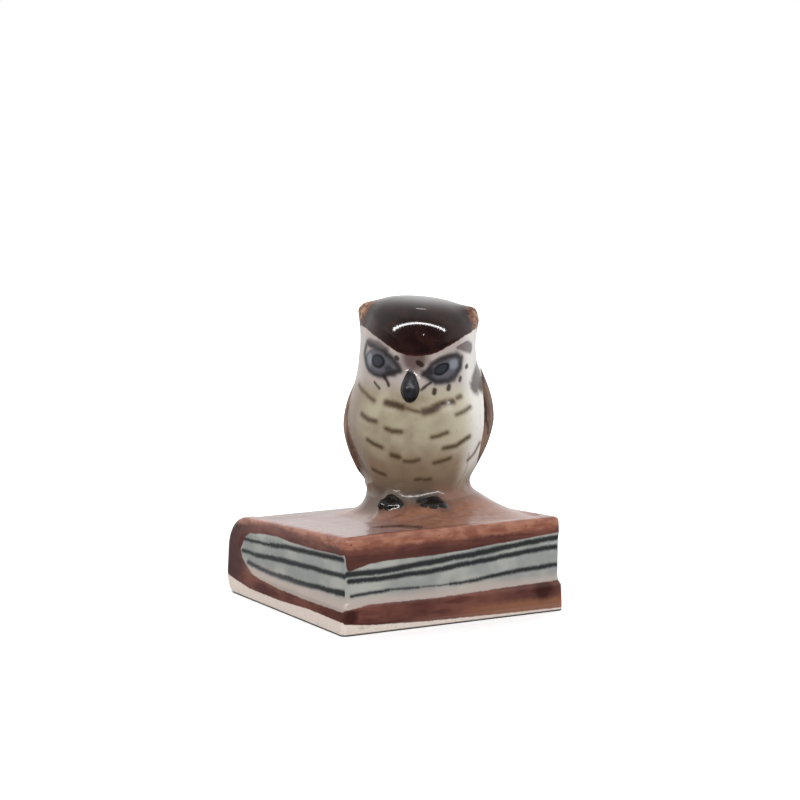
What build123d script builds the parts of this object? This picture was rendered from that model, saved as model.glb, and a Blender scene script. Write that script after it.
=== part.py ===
"""Glazed porcelain miniature: an owl that perches on a closed book.

Frame: millimetres, +Z up, origin at the centre of the underside of the book.
X runs along the fore-edge (-X is the head of the book, +X its tail), -Y is the
fore-edge and +Y the rounded spine. The owl is modelled in a frame of its own,
facing -Y, and is then turned on the book. Left and right are the owl's own.
"""

from build123d import *
import os
from math import radians, sin, tan

# ---------------------------------------------------------------- book
BOOK_LENGTH = 31.6          # head to tail, at the bottom board
BOOK_DEPTH = 29.8           # fore-edge to spine, at the bottom board
BOOK_HEIGHT = 11.85          # underside to the top of the board, at the fore-edge
SPINE_DROP = 2.2            # the top board lies this much lower at the spine
FOOT_HEIGHT = 1.05           # unglazed strip under the book
BOTTOM_BOARD = 2.4
TOP_BOARD = 2.2
SPINE_THICKNESS = 3.3
SIDE_DRAFT = 2.4            # degrees that the boards' edges lean in as they rise
SPINE_TOP_RADIUS = 4.2
SPINE_BOTTOM_RADIUS = 3.2
EDGE_RADIUS = 0.6           # rounding of the boards' edges
PAGE_TOP_RADIUS = 1.0       # page block's corners beside the spine
PAGE_BOTTOM_RADIUS = 3.0
PAGE_RECESS_ENDS = 0.65     # pages lie behind the boards at head and tail
PAGE_RECESS_FORE = 0.65     # and at the fore-edge
RIM_WIDTH = 1.7             # raised rim round the top board
RIM_HEIGHT = 0.3            # depth of the panel inside the rim
RIM_WIDTH_TAIL = 0.9        # the rim is narrow beside the owl

# ---------------------------------------------------------------- owl
OWL_X = 4.65                # where the owl stands on the book
OWL_Y = 2.0
OWL_TURN = -36.7            # degrees about Z, from facing the fore-edge
PERCH_HEIGHT = 3.2          # board to the ankle, over the smoothed slip
ANKLE_RADIUS = 6.3
PERCH_CORNER = 2.0          # corner radius of the slip's foot on the board
PERCH_SHARPNESS = 32.0      # how suddenly the slip steepens at the ankle
PERCH_SHARES = (1.0, 0.6, 0.3, 0.14, 0.06, 0.025, 0.01)   # its levels, rim to ankle
PERCH_FULL_HEAD = 0.0       # how far the slip's hollow is filled on each side:
PERCH_FULL_TAIL = 40.0      # at the sharpness above it is a straight slope
PERCH_FULL_SPINE = 0.6
PERCH_FULL_FORE = 8.0
ROUND_SLACK = 0.05          # a section's corners stay this much under half its width

BELLY_RADIUS = 9.1
BELLY_LEVEL = 8.3           # height of the widest point above the ankle
NECK_RADIUS = 7.4
NECK_LEVEL = 14.7
# How each part of an outline bulges: its pulls, as shares of the part's run and rise.
WAIST_PULLS = ((0.0, 0.25), (0.85, 0.5))
CHEST_PULLS = ((0.0, 0.5), (0.8, 0.8))
SHOULDER_PULLS = ((0.2, 1.0),)
CHEEK_PULLS = ((0.85, 0.0), (1.0, 0.33))
DOME_PULLS = ((0.0, 0.85), (0.12, 1.0))

HEAD_LEVEL = 9.3            # ankle to the underside of the head
HEAD_HEIGHT = 14.4
HEAD_RADIUS = 7.25
HEAD_WIDEST = 6.6           # height of the widest point above its underside
HEAD_FORWARD = 0.9          # the face stands forward of the ankle by this much
HEAD_SIDE_SHIFT = -0.8      # and a little to the owl's right
HEAD_ROLL = 4.5             # degrees that the head leans to the owl's left
HEAD_OVER_BODY = 6.3        # the body ends inside the head, this far under its top

CAP_THICKNESS = 0.3         # dark layer over the crown
BROW_POINT_DROP = 6.0       # top of the head to the point between the eyes
EAR_LINE_DROP = 2.2         # top of the head to the cap's edge below a tuft
NAPE_DROP = 7.6             # top of the head to the cap's edge at the back
BROW_POINT_WIDTH = 2.6      # blunt end of the point
BROW_POINT_SHIFT = 1.1      # the point lies this far to the owl's left

TUFT_ROOT_RADIUS = 3.8
TUFT_TIP_RADIUS = 1.15
TUFT_SPAN = 13.0            # between the centres of the two tips
TUFT_ROOT_SPAN = 6.4
TUFT_SIDE_SHIFT = -0.3     # the pair stands a little to the owl's right
TUFT_TIP_DROP = 1.9         # top of the head to the left tip's centre
RIGHT_TUFT_SAG = 0.3        # the right tip lies this much lower on the head
TUFT_ROOT_DROP = 5.6

BEAK_LENGTH = 4.0
BEAK_WIDTH = 2.4
BEAK_DROP = 9.7             # top of the head to the middle of the beak
BEAK_SINK = 0.35            # the beak's middle lies this far inside the face
BEAK_HOLLOW = (0.72, 0.35)  # its side, as shares of its half width and half length

WING_THICKNESS = 0.35
WING_LIFT = 0.45            # the wing's curve is the body's, raised by this much
WING_SAG = 1.2              # the right wing hangs lower than the left
WING_OVER_NECK = 0.4        # the wing's top lies this far above the neck
WING_TIP = 1.6              # ankle to the tip of the wing
WING_FRONT = -3.6           # front edge, forward of the owl's middle
WING_BACK = 5.6             # back edge, behind it
WING_SHOULDER_BACK = 1.12   # the wing's top and tip, behind the owl's middle
WING_TIP_BACK = 2.24
WING_WIDEST = (0.45, 0.55)  # where its two edges reach furthest, tip to shoulder

TAIL_WIDTH = 5.4
TAIL_THICKNESS = 1.7
TAIL_CORNER_RADIUS = 1.6
TAIL_EDGE_RADIUS = 0.6
TAIL_LENGTH = 10.0
TAIL_LEAN = 14.0            # degrees from upright
TAIL_ROOT_LEVEL = 6.6       # ankle to the top of the tail
TAIL_BACK = 7.2             # how far behind the middle its top lies

TOE_LENGTH = 1.7            # between the centres of a toe's round ends
TOE_WIDTH = 1.4
TOE_COUNT = 3
TOE_FAN = 35.0              # degrees between neighbouring toes
FOOT_SPAN = 4.9             # between the middles of the two feet
FOOT_FORWARD = 6.1          # the toes start this far in front of the owl's middle
FOOT_SINK = 0.7            # and this far under the ankle
FOOT_PITCH = 24.0           # degrees that the toes point down the slip
FOOT_TOE_OUT = 8.0          # degrees that each foot turns outwards


def board_level(y):
    """Height of the top board above the underside, y from the spine's side."""
    return BOOK_HEIGHT - SPINE_DROP * (y + BOOK_DEPTH / 2) / BOOK_DEPTH


ANKLE_LEVEL = board_level(OWL_Y) + PERCH_HEIGHT
BOARD_SLOPE = -SPINE_DROP / BOOK_DEPTH
BODY_HEIGHT = HEAD_LEVEL + HEAD_HEIGHT - HEAD_OVER_BODY
WING_SHOULDER = NECK_LEVEL + WING_OVER_NECK
OWL_PLACE = Location((OWL_X, OWL_Y, ANKLE_LEVEL), (0, 0, OWL_TURN))


def panel_plane(lift=0.0, x=0.0, y=0.0):
    """Plane parallel to the top board, lifted off the panel inside its rim."""
    level = board_level(y) - RIM_HEIGHT + lift
    return Plane(origin=(x, y, level), x_dir=(1, 0, 0), z_dir=(0, -BOARD_SLOPE, 1))


# ---------------------------------------------------------------- book pieces
def side_profile(points, radii):
    """Closed outline in the YZ plane with one corner radius for each point."""
    outline = Polyline(*points, close=True)
    face = make_face(outline)
    for point, radius in zip(points, radii):
        if radius:
            corner = face.vertices().sort_by_distance(Vector(*point))[0]
            face = fillet(corner, radius)
    return Plane.YZ * face


def book_profile():
    """Outer outline of the closed book before its foot is ground flat."""
    front = -BOOK_DEPTH / 2
    spine = BOOK_DEPTH / 2
    lean = tan(radians(SIDE_DRAFT)) * BOOK_HEIGHT
    points = [
        (front, -EDGE_RADIUS),
        (spine, -EDGE_RADIUS),
        (spine, board_level(spine)),
        (front + lean, board_level(front + lean)),
    ]
    return side_profile(points, [EDGE_RADIUS, SPINE_BOTTOM_RADIUS, SPINE_TOP_RADIUS, EDGE_RADIUS])


def page_profile(front):
    """Outline of the space between the boards, from front to the spine."""
    spine = BOOK_DEPTH / 2 - SPINE_THICKNESS
    low = FOOT_HEIGHT + BOTTOM_BOARD
    points = [
        (front, low),
        (spine, low),
        (spine, board_level(spine) - TOP_BOARD),
        (front, board_level(front) - TOP_BOARD),
    ]
    return side_profile(points, [0, PAGE_BOTTOM_RADIUS, PAGE_TOP_RADIUS, 0])


def make_block():
    """The whole closed book: ends that lean in, rounded edges, flat underside."""
    block = extrude(book_profile(), amount=BOOK_LENGTH / 2, both=True)
    ends = block.faces().sort_by(Axis.X)
    block = draft([ends[0], ends[-1]], Plane.XY, SIDE_DRAFT)
    ends = block.faces().sort_by(Axis.X)
    block = fillet(ends[0].edges() + ends[-1].edges(), EDGE_RADIUS)
    return block - slab(-BOOK_HEIGHT, 0)


def slab(low, high):
    """Everything between two levels, wider than the book."""
    place = Pos(0, 0, (low + high) / 2)
    return place * Box(2 * BOOK_LENGTH, 2 * BOOK_DEPTH, high - low)


def make_book_cover(block):
    """Boards and spine round the pages, with a panel sunk inside a raised rim."""
    pages = extrude(page_profile(-BOOK_DEPTH), amount=BOOK_LENGTH, both=True)
    return block - slab(0, FOOT_HEIGHT) - pages - make_panel()


def panel_outline(share):
    """Sides of the slip's outline: at the ankle for 0, inside the rim for 1."""
    lean = tan(radians(SIDE_DRAFT)) * BOOK_HEIGHT
    half_x, half_y = BOOK_LENGTH / 2 - lean, BOOK_DEPTH / 2 - lean

    def side(ankle, rim, fullness):
        return ankle + (rim - ankle) * share * (1 + fullness) / (1 + fullness * share)

    low_x = side(OWL_X - ANKLE_RADIUS, RIM_WIDTH - half_x, PERCH_FULL_HEAD)
    high_x = side(OWL_X + ANKLE_RADIUS, half_x - RIM_WIDTH_TAIL, PERCH_FULL_TAIL)
    low_y = side(OWL_Y - ANKLE_RADIUS, RIM_WIDTH - half_y, PERCH_FULL_FORE)
    high_y = side(OWL_Y + ANKLE_RADIUS, half_y - RIM_WIDTH, PERCH_FULL_SPINE)
    return low_x, high_x, low_y, high_y


def panel_section(share, lift, corner):
    """One level of the slip: a rounded rectangle parallel to the top board."""
    low_x, high_x, low_y, high_y = panel_outline(share)
    middle_x, middle_y = (low_x + high_x) / 2, (low_y + high_y) / 2
    outline = RectangleRounded(high_x - low_x, high_y - low_y, corner)
    return panel_plane(lift, middle_x, middle_y) * outline


def make_panel():
    """The shallow space inside the rim, open upwards."""
    return extrude(panel_section(1.0, 0.0, PERCH_CORNER), amount=BOOK_HEIGHT)


def make_perch_mound():
    """Slip smoothed from the panel up to the ankle, steeper as it rises."""
    ankle_corner = ANKLE_RADIUS - ROUND_SLACK
    sections = []
    for share in PERCH_SHARES:
        corner = ankle_corner + (PERCH_CORNER - ankle_corner) * share
        lift = (PERCH_HEIGHT + RIM_HEIGHT) * (1 - share) / (1 + PERCH_SHARPNESS * share)
        sections.append(panel_section(share, lift, corner))
    ankle = RectangleRounded(2 * ANKLE_RADIUS, 2 * ANKLE_RADIUS, ankle_corner)
    sections.append(Location((OWL_X, OWL_Y, ANKLE_LEVEL)) * ankle)
    return loft(sections, ruled=True)


def make_page_block():
    """Pages between the boards, upright and a little behind them on three sides."""
    front = -BOOK_DEPTH / 2 + PAGE_RECESS_FORE
    return extrude(page_profile(front), amount=BOOK_LENGTH / 2 - PAGE_RECESS_ENDS, both=True)


def make_bare_foot(block):
    """The unglazed strip that the book stands on."""
    return block & slab(0, FOOT_HEIGHT)


# ---------------------------------------------------------------- owl pieces
def turned(*outline):
    """Round solid from an outline in the (radius, height) plane, bottom to top."""
    foot, top = outline[0] @ 0, outline[-1] @ 1
    corners = [(top.X, top.Y), (0, foot.Y)]
    if foot.X > 0:
        corners.append((foot.X, foot.Y))
    return revolve(Plane.XZ * make_face([*outline, Polyline(*corners)]), Axis.Z)


def pulled(start, end, pulls):
    """Curve between two points of an outline, drawn towards its pulls."""
    run, rise = end[0] - start[0], end[1] - start[1]
    controls = [(start[0] + run * across, start[1] + rise * along) for across, along in pulls]
    return Bezier(start, *controls, end)


def body_form(grow=0.0):
    """The egg of the body from its ankle up, with grow added all round."""
    ankle, belly, neck = ANKLE_RADIUS + grow, BELLY_RADIUS + grow, NECK_RADIUS + grow
    top = BODY_HEIGHT + grow
    belly_point, neck_point = (belly, BELLY_LEVEL), (neck, NECK_LEVEL)
    waist = pulled((ankle, 0), belly_point, WAIST_PULLS)
    chest = pulled(belly_point, neck_point, CHEST_PULLS)
    crown = pulled(neck_point, (0, top), SHOULDER_PULLS)
    return turned(waist, chest, crown)


def head_form(grow=0.0):
    """The drum of the head with its low dome, standing at its own underside."""
    radius, top = HEAD_RADIUS + grow, HEAD_HEIGHT + grow
    cheek = pulled((0, -grow), (radius, HEAD_WIDEST), CHEEK_PULLS)
    dome = pulled((radius, HEAD_WIDEST), (0, top), DOME_PULLS)
    return turned(cheek, dome)


def on_head(piece):
    """Set a piece made round the head's axis, its underside at 0, on the neck."""
    centre = (HEAD_SIDE_SHIFT, -HEAD_FORWARD, HEAD_LEVEL)
    return Location(centre, (0, HEAD_ROLL, 0)) * piece


def cap_region():
    """Space above the cap's edge: a point on the brow, a slope to the nape."""
    reach = 2 * HEAD_RADIUS
    half_point = BROW_POINT_WIDTH / 2
    high = HEAD_HEIGHT + reach
    ear = HEAD_HEIGHT - EAR_LINE_DROP
    brow = HEAD_HEIGHT - BROW_POINT_DROP
    rise = (ear - brow) / (HEAD_RADIUS - half_point)
    top_x = half_point + (high - brow) / rise
    front = Polyline(
        (-half_point, brow), (half_point, brow), (top_x, high), (-top_x, high), close=True
    )
    peak = extrude(Plane.XZ * Pos(BROW_POINT_SHIFT, 0) * make_face(front), amount=reach)
    nape = HEAD_HEIGHT - NAPE_DROP
    fall = (ear - nape) / HEAD_RADIUS
    back = Polyline((0, ear), (reach, ear - fall * reach), (reach, high), (0, high), close=True)
    hood = extrude(Plane.YZ * make_face(back), amount=reach, both=True)
    return peak + hood


def tuft_form(side):
    """One ear tuft: a tapered horn with a round tip, swept up and outwards."""
    sag = RIGHT_TUFT_SAG if side < 0 else 0
    root = Vector(side * TUFT_ROOT_SPAN / 2, 0, HEAD_HEIGHT - TUFT_ROOT_DROP)
    tip = Vector(side * TUFT_SPAN / 2 + TUFT_SIDE_SHIFT, 0, HEAD_HEIGHT - TUFT_TIP_DROP - sag)
    reach = tip - root
    horn = Cone(
        TUFT_ROOT_RADIUS, TUFT_TIP_RADIUS, reach.length, align=(Align.CENTER, Align.CENTER, Align.MIN)
    )
    horn = Plane(origin=root, z_dir=reach) * horn
    return horn + Pos(*tip) * Sphere(TUFT_TIP_RADIUS)


def beak_form():
    """A drop-shaped bead, round above and drawn to a point below."""
    half, width = BEAK_LENGTH / 2, BEAK_WIDTH / 2
    widest = (width, half - width)
    hollow = (BEAK_HOLLOW[0] * width, -BEAK_HOLLOW[1] * half)
    point = ThreePointArc((0, -half), hollow, widest)
    dome = TangentArc(widest, (0, half), tangent=point % 1)
    return turned(point, dome)


def wing_region(side):
    """Leaf-shaped space beside the owl, from the shoulder back to the tip."""
    rise = WING_SHOULDER - WING_TIP
    shoulder = (WING_SHOULDER_BACK, WING_SHOULDER)
    tip = (WING_TIP_BACK, WING_TIP)
    front_level, back_level = (WING_TIP + share * rise for share in WING_WIDEST)
    front = ThreePointArc(tip, (WING_FRONT, front_level), shoulder)
    back = ThreePointArc(shoulder, (WING_BACK, back_level), tip)
    leaf = Plane.YZ * make_face([front, back])
    return extrude(leaf, amount=side * 2 * BELLY_RADIUS)


def make_wing(side, body, head):
    """Wing laid flat on the side of the body, thinning out towards its tip."""
    sag = WING_SAG if side < 0 else 0
    mantle = Pos(0, 0, WING_LIFT) * body_form(WING_THICKNESS)
    return Pos(0, 0, -sag) * (mantle & wing_region(side)) - body - head


def make_tail(body):
    """Blunt paddle behind the owl, from the back of the body to the slip."""
    blade = RectangleRounded(TAIL_WIDTH, TAIL_LENGTH, TAIL_CORNER_RADIUS)
    blade = extrude(blade, amount=TAIL_THICKNESS / 2, both=True)
    blade = fillet(blade.faces().sort_by(Axis.Z)[-1].edges(), TAIL_EDGE_RADIUS)
    middle = Pos(0, TAIL_BACK, TAIL_ROOT_LEVEL) * Rot(TAIL_LEAN - 90, 0, 0)
    return middle * Pos(0, TAIL_LENGTH / 2, 0) * blade - body


def capsule(length, radius):
    """Round-ended finger along -Y, the centre of its first end at the origin."""
    bevel = radius * sin(radians(45))
    near = ThreePointArc((0, radius), (bevel, bevel), (radius, 0))
    side = Line((radius, 0), (radius, -length))
    far = ThreePointArc((radius, -length), (bevel, -length - bevel), (0, -length - radius))
    middle = Line((0, -length - radius), (0, radius))
    return revolve(make_face([near, side, far, middle]), Axis.Y)


def make_foot(side, body, mound):
    """Three stubby toes that fan out from under the body, half sunk in slip."""
    foot = None
    for count in range(TOE_COUNT):
        turn = (count - (TOE_COUNT - 1) / 2) * TOE_FAN
        toe = Rot(0, 0, turn) * capsule(TOE_LENGTH, TOE_WIDTH / 2)
        foot = toe if foot is None else foot + toe
    heel = Location(
        (side * FOOT_SPAN / 2, -FOOT_FORWARD, -FOOT_SINK), (FOOT_PITCH, 0, side * FOOT_TOE_OUT)
    )
    return OWL_PLACE * (foot.moved(heel) - body) - mound


def main():
    os.makedirs("parts", exist_ok=True)
    pieces = {}
    block = make_block()
    cover = make_book_cover(block)
    mound = make_perch_mound()
    body = body_form()
    head = on_head(head_form()) - body
    skull = on_head(head_form())
    cap = on_head((head_form(CAP_THICKNESS) & cap_region()) - head_form())
    pieces["book_cover"] = cover
    pieces["page_block"] = make_page_block()
    pieces["bare_foot"] = make_bare_foot(block)
    pieces["perch_mound"] = mound
    pieces["owl_body"] = OWL_PLACE * body
    pieces["owl_head"] = OWL_PLACE * head
    pieces["crown_cap"] = OWL_PLACE * cap
    for side, name in ((1, "left"), (-1, "right")):
        tuft = on_head(tuft_form(side)) - skull - cap - body
        pieces[f"{name}_ear_tuft"] = OWL_PLACE * tuft
        pieces[f"{name}_wing"] = OWL_PLACE * make_wing(side, body, skull)
        pieces[f"{name}_foot"] = make_foot(side, body, mound)
    beak_place = Location((0, -HEAD_RADIUS - BEAK_SINK, HEAD_HEIGHT - BEAK_DROP))
    pieces["beak"] = OWL_PLACE * (on_head(beak_place * beak_form()) - skull - body)
    pieces["tail"] = OWL_PLACE * make_tail(body) - mound
    for name, piece in pieces.items():
        print(name, len(piece.solids()), round(piece.volume, 2))
        export_step(piece, f"parts/{name}.step")


if __name__ == "__main__":
    main()
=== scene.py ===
"""Looks of the fired porcelain owl that stands on a closed book.

The solids are one casting, so their copies are melted into one skin that has the soft
hollows and rounded edges of a glazed piece. The skin is then parted again into the
named pieces, and each piece gets the paint and glaze of its slot.
"""

import math

import bpy
from mathutils import Matrix, Vector


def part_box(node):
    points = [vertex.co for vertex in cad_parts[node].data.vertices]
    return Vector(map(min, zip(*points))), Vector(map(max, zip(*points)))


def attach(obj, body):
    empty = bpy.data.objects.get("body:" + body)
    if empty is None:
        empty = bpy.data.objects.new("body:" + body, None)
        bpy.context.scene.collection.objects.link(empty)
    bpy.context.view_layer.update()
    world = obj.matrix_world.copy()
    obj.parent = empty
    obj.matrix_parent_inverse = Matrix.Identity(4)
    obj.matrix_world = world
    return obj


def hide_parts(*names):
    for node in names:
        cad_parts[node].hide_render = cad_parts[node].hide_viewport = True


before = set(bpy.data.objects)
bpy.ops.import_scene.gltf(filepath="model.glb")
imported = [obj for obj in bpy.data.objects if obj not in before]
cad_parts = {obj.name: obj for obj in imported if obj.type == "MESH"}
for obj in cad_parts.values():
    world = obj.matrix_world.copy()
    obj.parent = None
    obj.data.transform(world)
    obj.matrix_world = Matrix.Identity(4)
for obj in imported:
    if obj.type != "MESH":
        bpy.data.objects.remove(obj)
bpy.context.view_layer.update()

MM = 0.001

# The owl's own axis: where it stands on the book, and how far it is turned.
OWL_AXIS = (4.65, 2.0)
OWL_TURN = math.radians(-36.7)
# Painted marks on the owl are placed by their way round it on a girth of this radius,
# to its left from the middle of its face, and by their height over the table, in mm.
GIRTH = 8.0

# The beak: half its width, its depth as a share of that, its lean in degrees, the share of
# its length that is full, and the share of its width that it loses from there to its root.
BEAK_HALF_WIDTH = 1.12 * MM
BEAK_DEPTH_SHARE = 0.95
BEAK_LEAN = -12.0
BEAK_FULL = 0.38
BEAK_TAPER = 0.62

# The solids that melt into one owl, and the round ends of its ear tufts: middle and radius
# in mm.
OWL_NODES = ("owl_head", "crown_cap", "left_ear_tuft", "right_ear_tuft", "owl_body")
ROUND_TIPS = (((8.94, -2.61, 35.85), 1.1), ((-1.08, 4.95, 36.18), 1.02))

# Painted places in mm: the tips of the tufts and how far their orange reaches, the dabs of
# black at the toes, and the smear on the slip. Brush marks are (half width, points).
TUFT_TIPS = ((9.9, -3.0, 35.4), (-1.6, 5.4, 36.2))
TIP_REACH = 3.4
TOE_DABS = (
    (0.6, ((-3.5, -1.6, 12.8), (-2.4, -2.6, 13.0), (-1.3, -3.3, 13.1))),
    (0.65, ((1.3, -4.3, 13.3), (2.6, -5.4, 13.4), (3.3, -6.4, 13.0))),
)
SLIP_SMEAR = ((1.0, ((-6.4, -7.2, 11.2), (-4.4, -8.6, 11.3), (-3.2, -10.8, 11.4))),)

# The skin: its grain, the owl's coarser grain, the radius that the glaze leaves in every
# crease and at the owl's neck, and how much and how often it is smoothed.
SKIN_GRAIN = 0.15 * MM
OWL_GRAIN = 1.8 * SKIN_GRAIN
CREASE_FILL = 0.6 * MM
NECK_CREASE_FILL = 7.0 * MM
MELT_FACTOR = 0.5
OWL_MELT_STEPS = 24
MELT_STEPS = 20
# How near to each other the loose corners of a solid's mesh are welded.
WELD_REACH = 0.001 * MM
# The body, drawn in and let down by this much, fills the owl out to the slip it stands in.
PLUG_INSET = 0.15 * MM
PLUG_DROP = 0.5 * MM
# After the parting: the fewest faces of a loose bit that is kept, the angle from which an
# edge stays sharp, and how near the uncut skin is where a piece takes its shading from it.
FLAKE_FACES = 60
SHARP_ANGLE = math.radians(40)
SEAM_REACH = 0.03 * MM


# ---------------------------------------------------------------- modelling helpers


def deselect():
    if bpy.context.object and bpy.context.object.mode != "OBJECT":
        bpy.ops.object.mode_set(mode="OBJECT")
    bpy.ops.object.select_all(action="DESELECT")


def take(obj):
    deselect()
    obj.select_set(True)
    bpy.context.view_layer.objects.active = obj


def finish_with(obj, kind, **settings):
    """Adds one modifier to obj and applies it."""
    take(obj)
    modifier = obj.modifiers.new(kind.lower(), kind)
    for key, value in settings.items():
        setattr(modifier, key, value)
    bpy.ops.object.modifier_apply(modifier=modifier.name)


def merged_copy(nodes, name):
    """One object with the shapes of these solids, each a closed shell."""
    copies = []
    for node in nodes:
        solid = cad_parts[node]
        twin = bpy.data.objects.new(name, solid.data.copy())
        bpy.context.scene.collection.objects.link(twin)
        twin.matrix_world = solid.matrix_world
        copies.append(twin)
    deselect()
    for twin in copies:
        twin.select_set(True)
    bpy.context.view_layer.objects.active = copies[0]
    if len(copies) > 1:
        bpy.ops.object.join()
    bpy.ops.object.transform_apply(location=True, rotation=True, scale=True)
    bpy.ops.object.mode_set(mode="EDIT")
    bpy.ops.mesh.select_all(action="SELECT")
    bpy.ops.mesh.remove_doubles(threshold=WELD_REACH)
    bpy.ops.object.mode_set(mode="OBJECT")
    twin = copies[0]
    twin.name = name
    twin.data.name = name
    twin.data.materials.clear()
    return twin


def duplicate(obj, name):
    twin = bpy.data.objects.new(name, obj.data.copy())
    twin.data.name = name
    bpy.context.scene.collection.objects.link(twin)
    return twin


# ---------------------------------------------------------------- the skin

# Each piece, the solid that it stands for, its slot, and how far in mm its share of the
# skin reaches over that solid. Small pieces take their share first, the cover has the rest.
PIECES = (
    ("slate_beak", "beak", "beak_glaze", 0.12),
    ("left_tuft_glaze", "left_ear_tuft", "tuft_glaze", 0.2),
    ("right_tuft_glaze", "right_ear_tuft", "tuft_glaze", 0.2),
    ("left_toes", "left_foot", "toe_glaze", 0.1),
    ("right_toes", "right_foot", "toe_glaze", 0.1),
    ("dark_crown", "crown_cap", "crown_glaze", 0.5),
    ("left_wing_glaze", "left_wing", "wing_glaze", 0.12),
    ("right_wing_glaze", "right_wing", "wing_glaze", 0.12),
    ("tail_glaze", "tail", "wing_glaze", 0.12),
    ("painted_head", "owl_head", "face_glaze", 2.6),
    ("painted_body", "owl_body", "body_glaze", 1.3),
    ("unglazed_foot", "bare_foot", "bare_porcelain", 0.02),
    ("painted_pages", "page_block", "page_glaze", 0.06),
    ("glazed_slip", "perch_mound", "cover_glaze", 0.25),
    ("glazed_cover", "book_cover", "cover_glaze", 0.0),
)


def spindle_beak():
    """The beak as it was pressed on: narrow between the eyes, full and blunt below."""
    low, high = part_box("beak")
    middle = (Vector(low) + Vector(high)) / 2
    deselect()
    bpy.ops.mesh.primitive_uv_sphere_add(segments=48, ring_count=32, radius=1.0)
    beak = bpy.context.object
    beak.name = "beak_form"
    length = high[2] - low[2]
    for vert in beak.data.vertices:
        rise = (vert.co.z + 1) / 2
        taper = BEAK_TAPER * max(0.0, rise - BEAK_FULL) / (1 - BEAK_FULL)
        girth = (1 - taper) * BEAK_HALF_WIDTH
        vert.co.x *= girth
        vert.co.y *= girth * BEAK_DEPTH_SHARE
        vert.co.z *= length / 2
    beak.rotation_euler = (math.radians(BEAK_LEAN), 0.0, OWL_TURN)
    beak.location = middle
    take(beak)
    bpy.ops.object.transform_apply(location=True, rotation=True, scale=True)
    return beak


def fill_creases(obj, reach, grain):
    """Fills every hollow that a ball of this radius can't enter, as thick glaze does."""
    finish_with(obj, "REMESH", mode="VOXEL", voxel_size=grain, use_smooth_shade=True)
    finish_with(obj, "DISPLACE", strength=reach, mid_level=0.0)
    finish_with(obj, "REMESH", mode="VOXEL", voxel_size=grain, use_smooth_shade=True)
    finish_with(obj, "DISPLACE", strength=-reach, mid_level=0.0)


def round_tip(middle, radius):
    """The rounded end of an ear tuft, which the glaze drew out to a corner."""
    deselect()
    bpy.ops.mesh.primitive_uv_sphere_add(
        segments=32, ring_count=20, radius=radius * MM, location=Vector(middle) * MM
    )
    tip = bpy.context.object
    bpy.ops.object.transform_apply(location=True)
    return tip


def joined(first, *others):
    take(first)
    for other in others:
        other.select_set(True)
    bpy.ops.object.join()
    return first


def without_flakes(piece):
    """The piece without the loose flakes that cutting it out leaves behind."""
    name = piece.name
    take(piece)
    bpy.ops.object.mode_set(mode="EDIT")
    bpy.ops.mesh.select_all(action="SELECT")
    bpy.ops.mesh.separate(type="LOOSE")
    bpy.ops.object.mode_set(mode="OBJECT")
    parts = sorted(bpy.context.selected_objects, key=lambda part: len(part.data.polygons))
    kept = [part for part in parts if len(part.data.polygons) >= FLAKE_FACES]
    for flake in parts:
        if flake not in kept:
            bpy.data.objects.remove(flake)
    body = joined(kept[-1], *kept[:-1]) if len(kept) > 1 else kept[0]
    body.name = name
    body.data.name = name
    return body


owl = merged_copy(OWL_NODES, "owl")
owl = joined(owl, *(round_tip(middle, radius) for middle, radius in ROUND_TIPS))
fill_creases(owl, NECK_CREASE_FILL, OWL_GRAIN)
finish_with(owl, "SMOOTH", factor=MELT_FACTOR, iterations=OWL_MELT_STEPS)

plug = merged_copy(["owl_body"], "plug")
finish_with(plug, "DISPLACE", strength=-PLUG_INSET, mid_level=0.0)
plug.data.transform(Matrix.Translation((0.0, 0.0, -PLUG_DROP)))

rest = [node for _, node, _, _ in PIECES if node not in (*OWL_NODES, "beak")]
beak_form = spindle_beak()
beak_share = duplicate(beak_form, "beak_share")
skin = joined(merged_copy(rest, "skin"), owl, plug, beak_form)
fill_creases(skin, CREASE_FILL, SKIN_GRAIN)
finish_with(skin, "SMOOTH", factor=MELT_FACTOR, iterations=MELT_STEPS)

# Every piece but the cover is cut out of the skin, and what is left is the cover.
whole = duplicate(skin, "whole")
take(whole)
bpy.ops.object.shade_smooth()
made = {}
for name, node, slot, reach in PIECES:
    if node == "book_cover":
        made[name] = skin
        skin.name = name
        skin.data.name = name
        continue
    share = beak_share if node == "beak" else merged_copy([node], "share")
    finish_with(share, "DISPLACE", strength=reach * MM, mid_level=0.0)
    piece = duplicate(skin, name)
    finish_with(piece, "BOOLEAN", operation="INTERSECT", object=share, solver="MANIFOLD")
    finish_with(skin, "BOOLEAN", operation="DIFFERENCE", object=share, solver="MANIFOLD")
    bpy.data.objects.remove(share)
    made[name] = piece

for name, piece in made.items():
    piece = made[name] = without_flakes(piece)
    take(piece)
    bpy.ops.object.shade_smooth_by_angle(angle=SHARP_ANGLE)
    # the shading of the uncut skin, so that no seam shows in the glaze
    finish_with(
        piece, "DATA_TRANSFER", object=whole, use_loop_data=True,
        data_types_loops={"CUSTOM_NORMAL"}, loop_mapping="POLYINTERP_NEAREST",
        use_max_distance=True, max_distance=SEAM_REACH,
    )
bpy.data.objects.remove(whole)


# ---------------------------------------------------------------- paint and glaze

# How far apart the waves and the pits of the glaze are, in mm.
WAVE_SIZE = 2.4
PIT_SIZE = 0.35


def tint(red, green, blue):
    """A colour as it is named on a swatch, in the units that a shader works in."""
    return tuple(
        (c / 255 / 12.92 if c <= 10 else ((c / 255 + 0.055) / 1.055) ** 2.4)
        for c in (red, green, blue)
    ) + (1.0,)


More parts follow.
